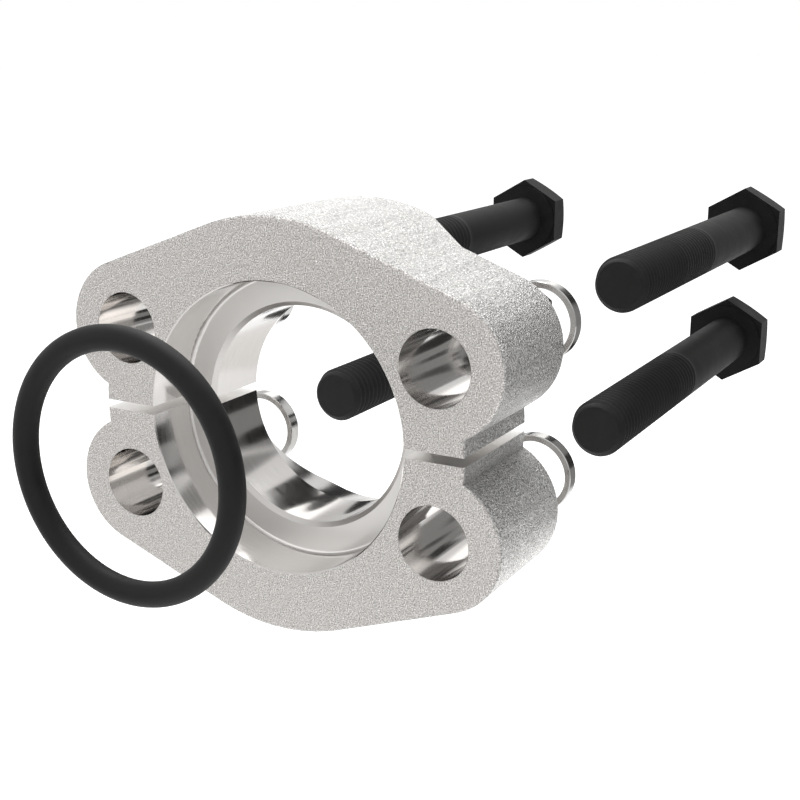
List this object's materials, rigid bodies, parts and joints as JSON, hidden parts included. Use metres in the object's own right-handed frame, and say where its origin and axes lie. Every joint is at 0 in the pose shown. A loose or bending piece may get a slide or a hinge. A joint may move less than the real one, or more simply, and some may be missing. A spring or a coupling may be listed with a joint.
{
  "type": "split flange clamp",
  "caption": "Two-piece flange clamp: split halves with shaped lobes, a stepped bore for a flanged hose end, hexagon head bolts, lock washers and a port-face sealing ring, set out exploded.",
  "frame": {"origin": "centre of the bore on the port face", "axes": "+X along the split (the long bolt spacing), +Y along the bore from the port face towards the bolt heads, +Z across the split towards the upper half"},
  "size_m": [0.0706, 0.1868, 0.0598],
  "materials": {
    "forged_steel": "blasted",
    "ring_rubber": "matte",
    "washer_steel": "bright zinc",
    "black_bolt": "black oxide"
  },
  "bodies": {
    "upper_half": {"upper_half": "forged_steel"},
    "lower_half": {"lower_half": "forged_steel"},
    "o_ring": {"o_ring": "ring_rubber"},
    "washer_upper_right": {"washer_upper_right": "washer_steel"},
    "washer_lower_right": {"washer_lower_right": "washer_steel"},
    "washer_upper_left": {"washer_upper_left": "washer_steel"},
    "washer_lower_left": {"washer_lower_left": "washer_steel"},
    "bolt_upper_right": {"bolt_upper_right": "black_bolt"},
    "bolt_lower_right": {"bolt_lower_right": "black_bolt"},
    "bolt_upper_left": {"bolt_upper_left": "black_bolt"},
    "bolt_lower_left": {"bolt_lower_left": "black_bolt"}
  },
  "joints": [
    {"name": "upper_half_lift", "type": "slide", "parent": "lower_half", "child": "upper_half", "axis": [0, 0, 1], "range_m": [0, 0.03]},
    {"name": "washer_upper_right_slide", "type": "slide", "parent": "upper_half", "child": "washer_upper_right", "axis": [0, -1, 0], "range_m": [0, 0.01395]},
    {"name": "bolt_upper_right_slide", "type": "slide", "parent": "washer_upper_right", "child": "bolt_upper_right", "axis": [0, -1, 0], "range_m": [0, 0.1132]},
    {"name": "washer_lower_right_slide", "type": "slide", "parent": "lower_half", "child": "washer_lower_right", "axis": [0, -1, 0], "range_m": [0, 0.01395]},
    {"name": "bolt_lower_right_slide", "type": "slide", "parent": "washer_lower_right", "child": "bolt_lower_right", "axis": [0, -1, 0], "range_m": [0, 0.1047]},
    {"name": "washer_upper_left_slide", "type": "slide", "parent": "upper_half", "child": "washer_upper_left", "axis": [0, -1, 0], "range_m": [0, 0.01395]},
    {"name": "bolt_upper_left_slide", "type": "slide", "parent": "washer_upper_left", "child": "bolt_upper_left", "axis": [0, -1, 0], "range_m": [0, 0.1067]},
    {"name": "washer_lower_left_slide", "type": "slide", "parent": "lower_half", "child": "washer_lower_left", "axis": [0, -1, 0], "range_m": [0, 0.01395]},
    {"name": "bolt_lower_left_slide", "type": "slide", "parent": "washer_lower_left", "child": "bolt_lower_left", "axis": [0, -1, 0], "range_m": [0, 0.1017]},
    {"name": "o_ring_slide", "type": "slide", "parent": "lower_half", "child": "o_ring", "axis": [0, 0.9945, -0.1045], "range_m": [0, 0.03152]}
  ]
}
